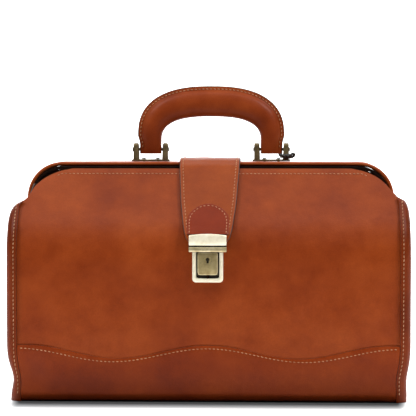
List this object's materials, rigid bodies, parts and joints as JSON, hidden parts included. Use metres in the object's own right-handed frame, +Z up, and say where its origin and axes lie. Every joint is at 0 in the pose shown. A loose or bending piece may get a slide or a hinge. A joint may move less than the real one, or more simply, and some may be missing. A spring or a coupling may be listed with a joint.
{
  "type": "doctor bag",
  "caption": "Leather doctor bag with a hinged frame mouth, a swinging top handle and a strap that closes with a press lock.",
  "frame": {"origin": "on the floor under the middle of the bag", "axes": "-Y is the bag's front, with the lock; +X runs along its width; +Z is up"},
  "size_m": [0.4, 0.1965, 0.3136],
  "materials": {
    "cognac_leather": "smooth polished leather",
    "dark_cognac_leather": "smooth polished leather",
    "antique_brass": "antique brushed",
    "pale_brass": "satin",
    "black_steel": "black lacquer",
    "lining_cloth": "woven",
    "grey_board": "raw",
    "black_cord": "waxed"
  },
  "bodies": {
    "body": {"front_panel": "cognac_leather", "back_panel": "cognac_leather", "left_gusset": "cognac_leather", "right_gusset": "cognac_leather", "bottom_panel": "cognac_leather", "base_board": "grey_board", "front_base_band": "dark_cognac_leather", "back_base_band": "dark_cognac_leather", "lining": "lining_cloth", "inner_pocket": "lining_cloth", "lock_plate": "pale_brass", "lock_backing_plate": "black_steel", "lock_rivet_left": "black_steel", "lock_rivet_right": "black_steel", "lock_spring": "black_steel"},
    "release_button": {"lock_button": "pale_brass", "latch_pawl": "black_steel"},
    "key_barrel": {"lock_barrel": "pale_brass", "lock_cam": "black_steel"},
    "front_half": {"front_frame_bar": "black_steel", "front_frame_cover": "cognac_leather", "front_panel_upper": "cognac_leather", "front_gusset_leaf_left": "cognac_leather", "front_gusset_leaf_right": "cognac_leather"},
    "back_half": {"back_frame_bar": "black_steel", "back_frame_cover": "cognac_leather", "back_panel_upper": "cognac_leather", "back_gusset_leaf_left": "cognac_leather", "back_gusset_leaf_right": "cognac_leather", "left_handle_bracket": "antique_brass", "right_handle_bracket": "antique_brass", "left_handle_pin": "antique_brass", "right_handle_pin": "antique_brass", "left_bracket_screw_1": "antique_brass", "left_bracket_screw_2": "antique_brass", "right_bracket_screw_1": "antique_brass", "right_bracket_screw_2": "antique_brass", "strap_top": "cognac_leather", "cord_tie": "black_cord"},
    "hinge_pins": {"left_hinge_pin": "black_steel", "right_hinge_pin": "black_steel"},
    "handle": {"handle_core": "black_steel", "handle_grip": "cognac_leather", "handle_spine": "dark_cognac_leather"},
    "strap_fold": {"strap_upper": "cognac_leather"},
    "strap": {"strap_front": "cognac_leather", "strap_patch": "dark_cognac_leather", "hasp_cap": "pale_brass"}
  },
  "joints": [
    {"name": "front_frame_hinge", "type": "hinge", "parent": "body", "child": "front_half", "pos_m": [0, -0.091, 0.164], "axis": [1, 0, 0], "range_deg": [0, 42]},
    {"name": "back_frame_hinge", "type": "hinge", "parent": "body", "child": "back_half", "pos_m": [0, 0.091, 0.164], "axis": [1, 0, 0], "range_deg": [-42, 0]},
    {"name": "hinge_pin_rise", "type": "slide", "parent": "body", "child": "hinge_pins", "axis": [0, 0, 1], "range_m": [0, 0.07006]},
    {"name": "handle_swing", "type": "hinge", "parent": "back_half", "child": "handle", "pos_m": [0, 0.011, 0.248], "axis": [1, 0, 0], "range_deg": [-75, 60]},
    {"name": "strap_fold_lift", "type": "hinge", "parent": "back_half", "child": "strap_fold", "pos_m": [0, -0.02027, 0.2394], "axis": [-1, 0, 0], "range_deg": [0, 60]},
    {"name": "strap_lift", "type": "hinge", "parent": "strap_fold", "child": "strap", "pos_m": [0, -0.06059, 0.20747], "axis": [-1, 0, 0], "range_deg": [0, 95]},
    {"name": "button_press", "type": "slide", "parent": "body", "child": "release_button", "axis": [0, 0, -1], "range_m": [0, 0.003], "stiffness_N_per_m": 300, "springref_m": -0.002, "deforming": ["lock_spring"]},
    {"name": "key_turn", "type": "hinge", "parent": "release_button", "child": "key_barrel", "pos_m": [0, -0.098, 0.1407], "axis": [0, 1, 0], "range_deg": [0, 90]}
  ],
  "couplings": [
    {"joint": "back_frame_hinge", "follows": "front_frame_hinge", "ratio": -1},
    {"joint": "hinge_pin_rise", "follows": "front_frame_hinge", "m_per_rad": 0.095306},
    {"joint": "strap_fold_lift", "follows": "front_frame_hinge", "ratio": 1.4286}
  ]
}
